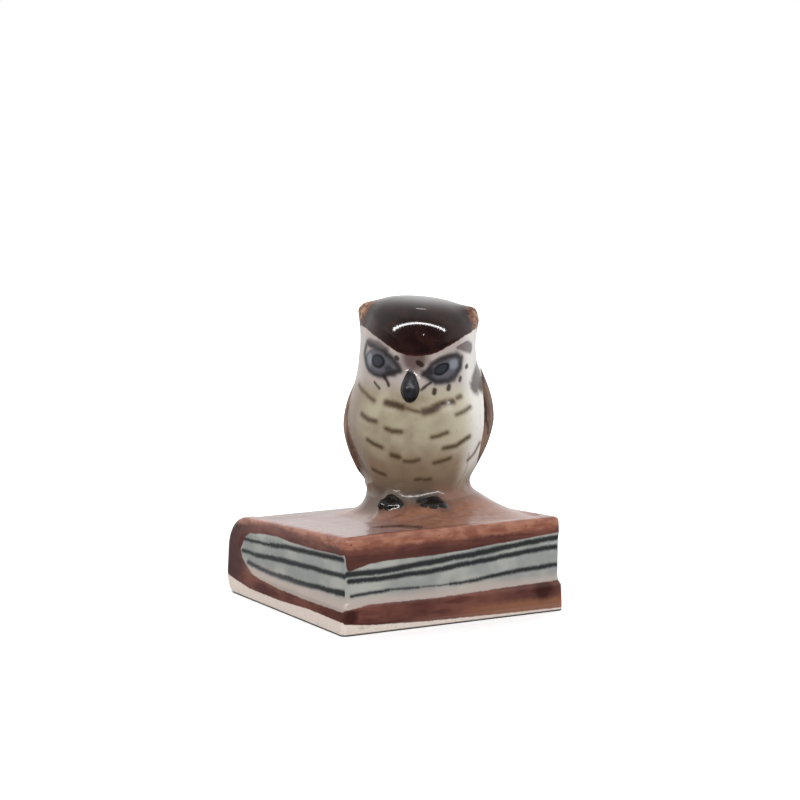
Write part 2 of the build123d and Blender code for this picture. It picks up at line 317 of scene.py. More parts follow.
class Amount:
    """A number that varies over a surface. Sums with it add the nodes that work it out."""

    def __init__(self, finish, socket):
        self.finish = finish
        self.socket = socket

    def maths(self, operation, *values):
        node = self.finish.add("ShaderNodeMath", dict(enumerate(values)), operation=operation)
        return Amount(self.finish, node.outputs[0])

    def __add__(self, other):
        return self.maths("ADD", self, other)

    def __sub__(self, other):
        return self.maths("SUBTRACT", self, other)

    def __rsub__(self, other):
        return self.maths("SUBTRACT", other, self)

    def __mul__(self, other):
        return self.maths("MULTIPLY", self, other)

    def __truediv__(self, other):
        return self.maths("DIVIDE", self, other)

    def __neg__(self):
        return self * -1

    def __abs__(self):
        return self.maths("ABSOLUTE", self)

    __radd__ = __add__
    __rmul__ = __mul__

    def least(self, other):
        return self.maths("MINIMUM", self, other)

    def most(self, other):
        return self.maths("MAXIMUM", self, other)

    def held(self):
        """The number kept between 0 and 1."""
        return self.most(0.0).least(1.0)

    def rise(self, low, high):
        """0 below low and 1 above high, or the other way round where low is the larger."""
        node = self.finish.add(
            "ShaderNodeMapRange",
            {"Value": self, "From Min": low, "From Max": high},
            interpolation_type="SMOOTHSTEP",
        )
        return Amount(self.finish, node.outputs[0])


class Finish:
    """The nodes of one fired finish, worked out from the place on the object in mm."""

    def __init__(self, name, roughness=0.08, mirror=0.36):
        self.material = bpy.data.materials.new(name)
        self.material.use_nodes = True
        self.nodes = self.material.node_tree.nodes
        self.nodes.clear()
        self.shader = self.add("ShaderNodeBsdfPrincipled")
        self.add("ShaderNodeOutputMaterial", {"Surface": self.shader.outputs[0]})
        self.shader.inputs["Roughness"].default_value = roughness
        self.shader.inputs["Specular IOR Level"].default_value = mirror
        place = self.add("ShaderNodeTexCoord").outputs["Object"]
        self.place = self.vector("SCALE", place, scale=1 / MM)
        self.x, self.y, self.z = self.parts(self.place)

    def add(self, kind, inputs=None, stops=None, **settings):
        """One node: its settings first, then the stops of a ramp, then its sockets."""
        node = self.nodes.new(kind)
        for key, value in settings.items():
            setattr(node, key, value)
        if stops:
            ramp = node.color_ramp
            while len(ramp.elements) < len(stops):
                ramp.elements.new(1.0)
            for element, (place, shade) in zip(ramp.elements, stops):
                element.position = place
                element.color = shade
        for socket, value in (inputs or {}).items():
            self.feed(node.inputs[socket], value)
        return node

    def feed(self, socket, value):
        if isinstance(value, Amount):
            value = value.socket
        if isinstance(value, bpy.types.NodeSocket):
            self.material.node_tree.links.new(value, socket)
        else:
            socket.default_value = value

    def vector(self, operation, *values, scale=None):
        inputs = dict(enumerate(values))
        if scale is not None:
            inputs["Scale"] = scale
        return self.add("ShaderNodeVectorMath", inputs, operation=operation).outputs["Vector"]

    def measure(self, operation, first, second):
        node = self.add("ShaderNodeVectorMath", {0: first, 1: second}, operation=operation)
        return Amount(self, node.outputs["Value"])

    def parts(self, vector):
        node = self.add("ShaderNodeSeparateXYZ", {0: vector})
        return [Amount(self, socket) for socket in node.outputs]

    def noise(self, size, detail=3.0, place=None, stretch=None, shift=0.0):
        """Cloudy variation from 0 to 1 whose blotches are about size mm across."""
        place = place or self.place
        if stretch:
            place = self.vector("MULTIPLY", place, stretch)
        if shift:
            place = self.vector("ADD", place, (shift, shift * 1.7, -shift))
        inputs = {"Vector": place, "Scale": 1 / size, "Detail": detail}
        return self.add("ShaderNodeTexNoise", inputs)

    def cloud(self, *args, **kwargs):
        return Amount(self, self.noise(*args, **kwargs).outputs[0])

    def mix(self, below, above, share):
        """The colour above laid over the colour below, where share is 1."""
        node = self.add("ShaderNodeMix", {0: share, 6: below, 7: above}, data_type="RGBA")
        return node.outputs[2]

    def wander(self, vector, amount, size, shift=0.0):
        """A place that strays by up to amount mm, so that edges drawn from it look brushed."""
        stray = self.vector(
            "SUBTRACT", self.noise(size, shift=shift, place=vector).outputs[1], (0.5, 0.5, 0.5)
        )
        return self.vector("ADD", vector, self.vector("SCALE", stray, scale=2 * amount))

    def owl_map(self):
        """Works out the place as the owl has it: way round it and height, one flat vector."""
        from_axis = self.vector("SUBTRACT", self.place, (*OWL_AXIS, 0.0))
        turned = self.add(
            "ShaderNodeVectorRotate",
            {"Vector": from_axis, "Angle": -OWL_TURN},
            rotation_type="Z_AXIS",
        ).outputs[0]
        across, forward, height = self.parts(turned)
        self.owl = turned
        self.around = across.maths("ARCTAN2", across, -forward) * GIRTH
        return self.add("ShaderNodeCombineXYZ", {0: self.around, 1: height}).outputs[0]

    def strokes(self, flat, marks):
        """Depth inside the nearest of the brush marks, in mm."""
        depth = None
        for half, points in marks:
            for start, end in zip(points, points[1:] or points):
                start = Vector((*start, 0.0)) if len(start) == 2 else Vector(start)
                end = Vector((*end, 0.0)) if len(end) == 2 else Vector(end)
                run = end - start
                if run.length == 0:
                    gap = self.measure("DISTANCE", flat, start)
                else:
                    away = self.vector("SUBTRACT", flat, start)
                    along = self.measure("DOT_PRODUCT", away, run / run.length_squared).held()
                    nearest = self.vector("SCALE", run, scale=along)
                    gap = self.measure("DISTANCE", away, nearest)
                inside = half - gap
                depth = inside if depth is None else depth.most(inside)
        return depth

    def disc(self, flat, centre, across, tall, tilt=0.0):
        """0 at the rim of an oval, and 1 at its middle."""
        away = self.vector("SUBTRACT", flat, (*centre, 0.0))
        if tilt:
            away = self.add(
                "ShaderNodeVectorRotate",
                {"Vector": away, "Angle": -math.radians(tilt)},
                rotation_type="Z_AXIS",
            ).outputs[0]
        even = self.vector("DIVIDE", away, (across, tall, 1.0))
        return 1 - self.measure("DISTANCE", even, (0.0, 0.0, 0.0))

    def along(self, amount, points):
        """The level of a line that runs straight from point to point, at amount along it."""
        first, last = points[0][0], points[-1][0]
        low = min(level for _, level in points)
        span = max(level for _, level in points) - low
        stops = [
            ((place - first) / (last - first), ((level - low) / span,) * 3 + (1.0,))
            for place, level in points
        ]
        share = (amount - first) / (last - first)
        ramp = self.add("ShaderNodeValToRGB", {0: share}, stops=stops)
        return Amount(self, ramp.outputs[0]) * span + low

    def bump(self, height, depth):
        node = self.add(
            "ShaderNodeBump", {"Height": height, "Distance": depth * MM, "Strength": 1.0}
        )
        self.feed(self.shader.inputs["Normal"], node.outputs[0])

    def close(self, colour, roughness=None):
        self.feed(self.shader.inputs["Base Color"], colour)
        if roughness is not None:
            self.feed(self.shader.inputs["Roughness"], roughness)
        return self.material


def glaze_skin(finish, swell=0.02, pitting=0.12):
    """Slow waves and fine pitting of a poured glaze."""
    waves = finish.cloud(WAVE_SIZE, detail=1.0)
    pits = finish.cloud(PIT_SIZE, detail=2.0).rise(0.28, 0.4)
    finish.bump(waves + pits * pitting, swell)


def laid(finish, colour, shade, depth, soft=0.12, strength=1.0):
    """Paint of one shade over colour, where depth is above 0, thin at its edges."""
    return finish.mix(colour, shade, depth.rise(-soft * 0.5, soft) * strength)


# Painted marks of the owl, as (half width, points round it and up it).
LIDS = (
    (0.3, ((-7.2, 32.5), (-5.7, 32.2), (-3.8, 31.7), (-2.7, 31.0), (-1.9, 30.1), (-1.6, 29.5))),
    (0.27, ((-7.3, 32.3), (-7.6, 31.1), (-7.0, 30.0), (-6.3, 29.2), (-5.2, 28.8), (-3.8, 28.6))),
    (0.36, ((-3.9, 28.7), (-2.8, 29.2), (-1.8, 29.5))),
    (0.3, ((1.7, 29.4), (2.3, 30.4), (3.3, 31.0), (4.4, 31.3), (5.7, 31.4), (6.6, 30.9))),
    (0.34, ((6.6, 30.9), (6.4, 29.8), (5.6, 28.9), (4.4, 28.3), (2.8, 28.2), (1.7, 28.9))),
    (0.4, ((1.3, 29.2), (2.0, 29.4))),
)
BROW_SHADES = (
    (0.55, ((-6.6, 32.6), (-5.0, 32.5), (-3.6, 31.9))),
    (0.4, ((-2.7, 30.4), (-2.0, 29.6))),
    (0.8, ((6.1, 32.7), (8.6, 32.0))),
    (0.45, ((2.6, 28.6), (5.2, 28.4))),
)
LASHES = (
    (0.2, ((-3.7, 28.6), (-3.3, 28.1), (-3.0, 27.6))),
    (0.14, ((-5.2, 27.8), (-4.8, 27.5), (-4.3, 27.1))),
    (0.28, ((-2.1, 31.1), (-2.0, 31.0))),
    (0.27, ((2.6, 27.2), (2.5, 26.8))),
    (0.3, ((4.5, 27.6), (4.4, 27.3))),
    (0.24, ((6.4, 28.5), (6.2, 28.2))),
    (0.27, ((7.8, 29.8), (7.6, 29.7))),
    (0.17, ((1.0, 27.3), (1.5, 27.7), (2.1, 28.1))),
    (0.3, ((0.6, 30.6), (1.0, 30.3))),
)
CHIN_STROKES = (
    (0.2, ((-8.4, 27.0), (-7.5, 26.6), (-6.5, 26.3), (-4.9, 25.6))),
    (0.42, ((-3.1, 25.5), (-2.0, 25.3), (-1.2, 25.1))),
    (0.13, ((-1.0, 25.1), (0.4, 24.7), (1.4, 24.5))),
    (0.45, ((1.4, 24.6), (2.2, 24.8), (3.0, 25.3))),
    (0.38, ((3.4, 25.5), (4.8, 25.7))),
    (0.2, ((5.5, 26.1), (6.1, 26.3))),
    (0.16, ((5.2, 24.1), (6.1, 24.4), (7.2, 24.9))),
)
CHEST_STROKES = (
    (0.27, ((-6.5, 23.7), (-5.4, 23.2), (-4.3, 23.1))),
    (0.24, ((-2.9, 22.4), (-2.2, 22.1), (-1.2, 22.1))),
    (0.2, ((2.3, 21.5), (3.1, 21.7), (3.9, 22.0))),
    (0.24, ((-5.6, 20.6), (-4.7, 20.2), (-3.7, 19.9))),
    (0.24, ((3.7, 20.0), (5.2, 20.2), (6.3, 20.9), (6.9, 21.2))),
    (0.32, ((-2.4, 19.0), (-1.6, 18.8))),
    (0.22, ((-0.9, 18.3), (0.0, 18.3), (0.8, 18.6))),
    (0.22, ((2.8, 18.1), (3.6, 18.3), (4.7, 18.6))),
    (0.24, ((-6.1, 16.7), (-5.3, 16.4), (-4.1, 16.2))),
    (0.18, ((0.5, 15.8), (1.2, 15.9))),
    (0.18, ((1.6, 15.8), (2.5, 15.9))),
    (0.12, ((7.8, 18.1), (8.7, 18.9), (9.2, 20.1))),
)
BELLY_EDGES = (
    (0.1, ((-6.9, 18.8), (-7.3, 17.0), (-7.2, 15.2), (-6.2, 13.9))),
    (0.12, ((7.4, 19.0), (8.2, 17.0), (8.1, 15.4), (7.2, 14.4))),
)
WING_EDGE = (
    (0.3, ((-9.0, 25.2), (-8.6, 22.6), (-8.1, 21.1), (-8.1, 18.9), (-8.8, 16.8))),
    (0.3, ((9.0, 29.3), (9.7, 26.6), (9.8, 25.2), (9.5, 23.0), (10.5, 21.2))),
)
# Lower edge of the dark crown: its height at each place round the head.
CROWN_EDGE = (
    (-12.6, 33.0), (-10.4, 34.2), (-8.5, 34.1), (-6.8, 33.8), (-4.7, 33.15), (-3.2, 32.4),
    (-1.8, 31.7), (-0.6, 31.45), (0.8, 31.4), (2.1, 31.6), (3.2, 32.0), (4.9, 32.8),
    (6.9, 33.6), (9.5, 34.1), (10.6, 34.2), (12.6, 33.0),
)
# Height of the crown's edge at the back of the head.
NAPE_EDGE = 30.6
# The eyes: iris, pupil and glint, each as (middle, half width, half height), and their tilt
# in degrees.
EYES = (
    (((-4.9, 30.3), 2.5, 1.75), ((-4.75, 30.45), 1.15, 0.92), ((-6.3, 30.4), 0.6, 1.0), -8.0),
    (((4.2, 29.8), 2.6, 1.45), ((3.5, 29.75), 1.25, 0.72), ((5.3, 30.3), 0.8, 0.7), 24.0),
)
# Dark inner corners of the eyes: middle, half width, half height, and tilt in degrees.
EYE_CORNERS = (((-2.9, 29.4), 1.0, 0.6, -38.0), ((1.9, 29.4), 0.9, 0.6, 30.0))
# How far round the body the brown of the right wing comes, at each height.
WING_BROWN = (
    (15.0, -7.8), (17.0, -8.0), (19.1, -8.4), (23.4, -9.6), (26.5, -11.0), (30.0, -12.5),
)
# Dusky patch where the left wing meets the cheek.
SHOULDER_PATCH = (
    (1.15, ((9.0, 27.2), (9.8, 28.0), (11.4, 29.0))),
    (0.9, ((10.2, 27.0), (11.6, 27.6))),
)


def plumage(finish):
    """The pale glaze over the whole owl: cream in front, painted lilac sheen at the sides, dusky
    low down.
    """
    blotch = finish.cloud(3.2, detail=4.0)
    fine = finish.cloud(0.6, detail=4.0, shift=9.0)
    colour = finish.mix(tint(160, 147, 124), tint(181, 172, 147), blotch.rise(0.35, 0.7))
    # painted light: the front lighter toward the right, as if lit from that side
    right = finish.around.rise(2.0, 6.5) * finish.z.rise(17.0, 20.0)
    colour = finish.mix(colour, tint(206, 199, 176), right * 0.8)
    inside = abs(finish.around + (blotch - 0.5) * 2).rise(8.6, 6.0)
    low = (finish.z + (blotch - 0.5) * 3).rise(21.5, 17.0) * inside
    colour = finish.mix(colour, tint(136, 112, 90), low * 0.7)
    colour = finish.mix(colour, tint(84, 68, 54), finish.z.rise(16.6, 13.8) * inside * 0.75)
    colour = finish.mix(colour, tint(112, 96, 84), finish.z.rise(15.0, 13.2) * 0.8)
    ankle = finish.z.rise(15.6, 14.0) * finish.around.rise(1.0, 6.0)
    colour = finish.mix(colour, tint(146, 108, 90), ankle * 0.8)
    face = (finish.z + (blotch - 0.5) * 1.5).rise(26.0, 28.6)
    colour = finish.mix(colour, tint(186, 174, 168), face)
    # painted sheen: the sides whitened where the glaze would mirror the white room, lilac on the
    # left and near white on the right
    upper = finish.z.rise(14.5, 18.0)
    colour = finish.mix(colour, tint(204, 197, 190), finish.around.rise(-6.5, -9.0) * 0.7 * upper)
    colour = finish.mix(colour, tint(244, 241, 236), finish.around.rise(5.6, 8.6) * 0.9 * upper)
    left = finish.around.rise(-6.0, -8.0) * finish.z.rise(28.4, 26.0)
    colour = finish.mix(colour, tint(142, 124, 108), left * 0.8)
    drawn = finish.along(finish.z, WING_BROWN) - finish.around + (fine - 0.5) * 1.6
    drawn = drawn.rise(-0.2, 0.6) * finish.z.rise(28.6, 27.4) * finish.z.rise(15.4, 16.6)
    brown = finish.mix(tint(74, 50, 42), tint(126, 92, 68), fine.rise(0.35, 0.65))
    colour = finish.mix(colour, brown, drawn * 0.9)
    return finish.mix(colour, tint(120, 100, 84), fine.rise(0.58, 0.85) * 0.35)


def back_coat(finish, flat, colour):
    """Brown feathers from wing to wing over the owl's back and nape."""
    back = (abs(finish.around) + finish.cloud(0.7, shift=2.0) - 0.5).rise(13.2, 14.2)
    back = back * finish.z.rise(13.6, 15.0)
    streak = finish.cloud(1.1, detail=4.0, place=flat, stretch=(1.5, 0.3, 1.0), shift=6.0)
    brown = finish.mix(tint(100, 74, 62), tint(140, 112, 92), streak.rise(0.35, 0.68))
    return finish.mix(colour, brown, back * 0.95)


def dark_crown_paint(finish, colour):
    """The brown-black crown with its warm, thin rim."""
    ragged = finish.cloud(0.5, detail=3.0, shift=4.0) - 0.5
    front = abs(finish.around).rise(12.6, 11.4)
    depth = finish.z - finish.along(finish.around, CROWN_EDGE) + ragged * 0.3
    behind = finish.z - NAPE_EDGE + ragged * 0.9
    depth = depth * front + behind * (1 - front)
    dark = finish.mix(tint(30, 14, 15), tint(46, 26, 22), finish.cloud(1.6).rise(0.35, 0.7))
    dark = finish.mix(dark, tint(66, 30, 22), depth.rise(0.35, 0.0) * 0.8)
    tips = None
    for tip in TUFT_TIPS:
        near = finish.measure("DISTANCE", finish.place, tip).rise(TIP_REACH, 0.6)
        tips = near if tips is None else tips.most(near)
    spots = finish.cloud(0.5, detail=1.0)
    orange = finish.mix(tint(122, 70, 44), tint(184, 138, 106), tips.rise(0.55, 0.95))
    orange = finish.mix(orange, tint(60, 30, 22), spots.rise(0.6, 0.4) * 0.75)
    dark = finish.mix(dark, orange, (tips + (spots - 0.5) * 0.9).rise(0.15, 0.7))
    return finish.mix(colour, dark, depth.rise(-0.08, 0.1))


def eye(finish, colour, brushed, iris, pupil, glint, tilt):
    """A slate eye in its socket: iris, glint of white, and a dark ring with a paler middle."""
    middle, across, tall = pupil
    coats = (
        (iris, tint(94, 94, 101), 0.16, 1.0),
        (glint, tint(138, 141, 150), 0.5, 0.95),
        (pupil, tint(24, 23, 27), 0.2, 1.0),
        ((middle, across * 0.72, tall * 0.7), tint(52, 56, 61), 0.35, 1.0),
    )
    for oval, shade, soft, strength in coats:
        depth = finish.disc(brushed, *oval, tilt)
        colour = laid(finish, colour, shade, depth, soft=soft, strength=strength)
    return colour


def brow_stain(finish, colour, flat):
    """Brown that ran down from the point of the crown to the beak."""
    stain = finish.disc(finish.wander(flat, 0.2, 0.9, shift=7.0), (0.1, 31.3), 1.8, 2.2)
    return laid(finish, colour, tint(84, 58, 56), stain, soft=0.5, strength=0.85)


def face_paint(finish, colour, flat):
    """Eyes, lids, brows and lashes."""
    brushed = finish.wander(flat, 0.12, 0.8)
    grain = finish.cloud(0.3, detail=3.0, shift=2.0).rise(0.15, 0.5) * 0.3 + 0.7
    colour = brow_stain(finish, colour, flat)
    shades = finish.strokes(brushed, BROW_SHADES)
    colour = laid(finish, colour, tint(78, 64, 66), shades, soft=0.35, strength=0.8)
    for iris, pupil, glint, tilt in EYES:
        colour = eye(finish, colour, brushed, iris, pupil, glint, tilt)
    for middle, across, tall, tilt in EYE_CORNERS:
        depth = finish.disc(brushed, middle, across, tall, tilt)
        colour = laid(finish, colour, tint(52, 52, 57), depth, soft=0.5, strength=0.9)
    lines = finish.strokes(brushed, LIDS) + (grain - 0.85) * 0.3
    colour = laid(finish, colour, tint(78, 74, 76), lines + 0.22, soft=0.4, strength=0.6)
    colour = laid(finish, colour, tint(46, 43, 46), lines, soft=0.34, strength=0.92)
    lashes = finish.strokes(brushed, LASHES)
    colour = laid(finish, colour, tint(34, 24, 18), lashes + 0.06, soft=0.2, strength=0.9)
    return shoulder_patch(finish, colour, flat)


def shoulder_patch(finish, colour, flat):
    """Dusky brown between the left wing and the cheek."""
    depth = finish.strokes(finish.wander(flat, 0.3, 0.9), SHOULDER_PATCH)
    return laid(finish, colour, tint(66, 50, 49), depth, soft=0.6, strength=0.88)


def feather_strokes(finish, colour, flat, marks):
    """Short brown strokes, each with a paler brown around it."""
    brushed = finish.wander(flat, 0.14, 1.8, shift=5.0)
    grain = finish.cloud(0.26, detail=2.0, shift=7.0)
    depth = finish.strokes(brushed, marks) + (grain - 0.5) * 0.2
    colour = laid(finish, colour, tint(122, 100, 76), depth + 0.24, soft=0.5, strength=0.8)
    return laid(finish, colour, tint(62, 45, 30), depth + 0.04, soft=0.4, strength=0.85)


def toe_stain(finish, colour):
    """Black slip that was dabbed on for the toes and ran a little."""
    brushed = finish.wander(finish.place, 0.25, 0.7, shift=3.0)
    depth = finish.strokes(brushed, TOE_DABS)
    colour = laid(finish, colour, tint(66, 58, 52), depth + 0.9, soft=0.9, strength=0.55)
    return laid(finish, colour, tint(18, 16, 15), depth, soft=0.3, strength=0.95)


def wing_paint(finish, flat):
    """Streaky brown, drawn down the wing."""
    streak = finish.cloud(1.0, detail=4.0, place=flat, stretch=(1.6, 0.22, 1.0))
    colour = finish.mix(tint(96, 74, 65), tint(150, 123, 103), streak.rise(0.35, 0.66))
    colour = finish.mix(colour, tint(50, 36, 36), finish.cloud(2.5).rise(0.52, 0.72) * 0.7)
    shoulder = (finish.z + streak * 2).rise(27.6, 29.0) * finish.around.rise(0.0, 1.0)
    colour = finish.mix(colour, tint(66, 52, 54), shoulder * 0.8)
    warm = finish.cloud(1.4, shift=12.0).rise(0.5, 0.7) * finish.z.rise(23.0, 26.0)
    colour = finish.mix(colour, tint(158, 118, 76), warm * 0.6)
    edge = finish.strokes(finish.wander(flat, 0.15, 0.8), WING_EDGE)
    return laid(finish, colour, tint(58, 36, 30), edge, soft=0.3, strength=0.85)


# ---------------------------------------------------------------- paint of the book

# Where the pages' grey glaze ends: heights over the table at each place along a side.
HEAD_UPPER = (
    (-15.2, 9.6), (-14.0, 9.7), (-6.9, 9.2), (-1.2, 9.05), (2.1, 9.1), (6.0, 8.8), (9.0, 8.3),
    (10.3, 7.7), (11.1, 6.9), (11.5, 6.0), (11.7, 4.6),
)
HEAD_LOWER = (
    (-15.2, 2.9), (-6.3, 2.7), (1.0, 2.75), (6.1, 3.0), (8.5, 3.4), (10.0, 4.0), (10.9, 4.7),
    (11.4, 5.5), (11.7, 6.8),
)
FORE_UPPER = (
    (-15.4, 9.4), (-15.0, 8.1), (-14.6, 7.7), (-13.7, 8.0), (-11.8, 8.4), (-9.2, 8.6),
    (-2.4, 8.65), (2.1, 8.9), (14.8, 9.85), (15.6, 9.9),
)
FORE_LOWER = ((-15.4, 3.1), (-12.0, 3.5), (-2.4, 3.4), (6.0, 3.6), (15.1, 3.8))
# Where the bare porcelain under the bottom board ends, in the same way.
BARE_FORE = ((-15.4, 1.5), (-12.0, 1.1), (-4.0, 0.75), (6.0, 0.55), (15.4, 0.45))
BARE_HEAD = ((-15.4, 1.7), (-6.4, 1.75), (0.8, 1.4), (8.3, 1.4), (12.7, 1.9), (15.4, 2.4))
# Ink lines of the leaves, as (half width, points along the side and up it).
HEAD_LINES = (
    (0.2, ((10.6, 7.2), (6.4, 7.5), (4.0, 7.7))),
    (0.3, ((4.0, 7.7), (-0.7, 8.2), (-6.4, 8.6), (-13.7, 9.1))),
    (0.22, ((11.1, 5.7), (7.9, 5.7))),
    (0.3, ((7.9, 5.7), (2.0, 6.25), (-3.8, 6.6), (-9.4, 6.9), (-15.0, 7.2))),
    (0.24, ((9.8, 4.5), (6.3, 4.15), (2.0, 4.2))),
    (0.3, ((2.0, 4.2), (-3.8, 4.35), (-8.0, 4.7), (-12.1, 4.9))),
    (0.38, ((-12.1, 4.9), (-14.4, 5.1))),
)
FORE_LINES = (
    (0.34, ((-15.0, 7.4), (-10.4, 7.35), (-4.1, 7.75), (2.1, 8.15), (8.6, 8.75), (15.4, 9.25))),
    (0.3, ((-14.6, 6.5), (-10.4, 6.5), (-3.2, 6.7), (4.0, 7.3), (11.4, 7.85), (15.4, 8.05))),
    (0.17, ((-14.3, 4.7), (-9.1, 5.0))),
    (0.11, ((-9.1, 5.0), (-5.0, 4.9))),
    (0.04, ((-5.0, 4.9), (-0.5, 4.78))),
    (0.15, ((-0.5, 4.78), (2.2, 4.93))),
    (0.2, ((2.2, 4.93), (5.5, 5.2))),
    (0.25, ((5.5, 5.2), (8.7, 5.5), (15.4, 5.8))),
)
# Dark drops at the corners of the bottom board: middle and radius.
CORNER_DROPS = (((-14.6, -14.8, 2.35), 1.6), ((12.8, -14.8, 2.9), 2.0))
# Height of the line between the worn orange and the dark red on the top board's edge.
BOARD_LINE = 9.9


def streaky_brown(finish):
    """Red-brown glaze brushed along the boards, orange where it is worn thin."""
    blot_mask = finish.cloud(4.0, detail=3.0)
    streak = finish.cloud(1.1, detail=2.0, stretch=(0.2, 0.2, 1.2), shift=3.0)
    colour = finish.mix(tint(98, 61, 55), tint(122, 77, 67), blot_mask.rise(0.35, 0.68))
    colour = finish.mix(colour, tint(78, 44, 42), streak.rise(0.5, 0.3) * 0.7)
    return finish.mix(colour, tint(138, 91, 72), streak.rise(0.56, 0.75) * 0.5)


def book_paint(finish):
    """Every colour of the book, each laid where it belongs on the whole casting."""
    x, y, z = finish.x, finish.y, finish.z
    ragged = finish.cloud(0.8, detail=3.0, shift=11.0) - 0.5
    fine = finish.cloud(0.3, detail=2.0, shift=6.0)
    # 1 on the fore-edge, 0 at head and tail
    fore = (abs(x) + y - 0.9).rise(0.2, -0.2)

    colour = streaky_brown(finish)
    # dusky lilac brown on the spine
    colour = finish.mix(colour, tint(66, 40, 42), y.rise(9.5, 13.0) * 0.8)
    # the top board's edge: worn orange above, dark red below
    worn = (z - BOARD_LINE + ragged * 0.7 + y.rise(2.0, 14.0) * 1.4).rise(0.15, 0.8)
    rim_side = abs(x).rise(13.6, 14.4).most((-y).rise(12.9, 13.7))
    rub = finish.cloud(0.8, detail=2.0, stretch=(0.4, 0.4, 1.0), shift=15.0)
    worn_tone = finish.mix(tint(146, 92, 74), tint(180, 124, 101), rub.rise(0.35, 0.65))
    colour = finish.mix(colour, worn_tone, worn * rim_side * 0.85)
    dark_band = (z - BOARD_LINE + ragged * 0.5).rise(0.1, -0.9) * z.rise(7.0, 8.0) * fore
    colour = finish.mix(colour, tint(84, 53, 49), dark_band * 0.8)
    colour = finish.mix(colour, tint(40, 14, 12), fine.rise(0.66, 0.74) * worn * 0.7)
    # sunk panel: tan, lilac to the spine, a painted lilac sheen to the head, and painted shade
    # behind the rim
    panel = z.rise(9.2, 9.8) * (-y).rise(13.3, 12.9) * abs(x).rise(14.2, 13.8)
    tone = finish.mix(tint(156, 112, 92), tint(138, 92, 72), ragged.rise(-0.2, 0.25))
    # painted sheen: lilac toward the head end, where the glaze would mirror the white room at a
    # low angle
    painted_sheen_to_head = (x + ragged * 2.0).rise(-1.0, -7.0)
    tone = finish.mix(tone, tint(156, 127, 124), painted_sheen_to_head * 0.8)
    to_spine = (y + ragged * 2.0).rise(5.5, 9.5) * x.rise(4.0, -4.0)
    tone = finish.mix(tone, tint(124, 86, 82), to_spine * 0.85)
    to_tail = (x + ragged * 2.0).rise(10.0, 13.0)
    tone = finish.mix(tone, tint(160, 118, 108), to_tail * 0.6)
    band = finish.cloud(1.5, detail=1.0, stretch=(0.3, 1.0, 0.2), shift=21.0)
    tone = finish.mix(tone, tint(182, 124, 86), band.rise(0.5, 0.78) * 0.25)
    tone = finish.mix(tone, tint(92, 56, 46), band.rise(0.48, 0.22) * 0.25)
    colour = finish.mix(colour, tone, panel)
    # painted shade: dark red-brown along the panel's edge behind the fore rim
    blot_mask = (-y).rise(12.0, 12.7) * (-y).rise(13.6, 13.1) * z.rise(10.6, 11.0)
    blot_mask = blot_mask * (x + ragged * 3).rise(-13.8, -12.6)
    colour = finish.mix(colour, tint(92, 34, 14), blot_mask * 0.75)
    smear = finish.strokes(finish.wander(finish.place, 0.4, 1.2), SLIP_SMEAR)
    colour = laid(finish, colour, tint(58, 36, 30), smear, soft=0.8, strength=0.85)
    # grey wash climbing to the owl's ankles
    finish.owl_map()
    reach = finish.measure(
        "DISTANCE", finish.vector("MULTIPLY", finish.owl, (1.0, 1.0, 0.0)), (0.0, 0.0, 0.0)
    )
    wash = (reach + ragged * 1.6).rise(9.0, 6.6)
    grey = finish.mix(tint(124, 92, 76), tint(112, 96, 84), (reach + ragged).rise(8.6, 6.8))
    colour = finish.mix(colour, grey, wash * 0.9)
    colour = toe_stain(finish, colour)
    # bottom board: redder to the right, dark drops at its corners
    amber = fore * x.rise(-2.0, 6.0) * (z + ragged * 0.6).rise(2.3, 1.4)
    colour = finish.mix(colour, tint(158, 108, 82), amber * 0.7)
    for spot, size in CORNER_DROPS:
        away = finish.measure("DISTANCE", finish.wander(finish.place, 0.6, 1.3), spot)
        colour = finish.mix(colour, tint(50, 24, 24), away.rise(size, size * 0.3) * 0.75)

    # pages
    def between(along, upper, lower):
        return (finish.along(along, upper) - z).least(z - finish.along(along, lower))

    ends = between(y, HEAD_UPPER, HEAD_LOWER)
    front = between(x, FORE_UPPER, FORE_LOWER)
    inside = ends * (1 - fore) + front * fore
    cloud = finish.cloud(4.0, detail=4.0)
    page = finish.mix(tint(154, 157, 154), tint(182, 182, 176), cloud.rise(0.35, 0.65))
    page = finish.mix(page, tint(186, 170, 161), z.rise(5.2, 3.6) * 0.85)
    brushed = finish.add("ShaderNodeCombineXYZ", {0: y, 1: z}).outputs[0]
    head_depth = finish.strokes(finish.wander(brushed, 0.15, 2.0), HEAD_LINES)
    brushed = finish.add("ShaderNodeCombineXYZ", {0: x, 1: z}).outputs[0]
    fore_depth = finish.strokes(finish.wander(brushed, 0.15, 2.0), FORE_LINES)
    depth = head_depth * (1 - fore) + fore_depth * fore
    grain = finish.cloud(0.35, detail=4.0, shift=3.0).rise(0.2, 0.55) * 0.3 + 0.7
    depth = depth + (grain - 0.85) * 0.35
    page = laid(finish, page, tint(104, 107, 110), depth + 0.1, soft=0.3, strength=0.6)
    page = laid(finish, page, tint(32, 35, 36), depth + 0.03, soft=0.26, strength=0.92)
    colour = finish.mix(colour, page, (inside + ragged * 0.2).rise(-0.06, 0.14))

    # bare porcelain left under the bottom board at head and tail
    edge = finish.along(y, BARE_HEAD) * (1 - fore) + finish.along(x, BARE_FORE) * fore
    bare = (edge - z + ragged * 0.18).rise(-0.05, 0.08)
    fired = finish.mix(tint(236, 223, 212), tint(226, 208, 196), fine.rise(0.3, 0.9))
    return finish.mix(colour, fired, bare), bare


def cover_glaze():
    """The boards and the slip: duller than the owl, and rough where they are bare."""
    finish = Finish("cover_glaze", mirror=0.27)
    glaze_skin(finish, 0.045, pitting=0.02)
    colour, bare = book_paint(finish)
    return finish.close(colour, bare * 0.4 + 0.17)


def page_glaze():
    finish = Finish("page_glaze")
    glaze_skin(finish, 0.03)
    colour, bare = book_paint(finish)
    return finish.close(colour, bare * 0.4 + 0.12)


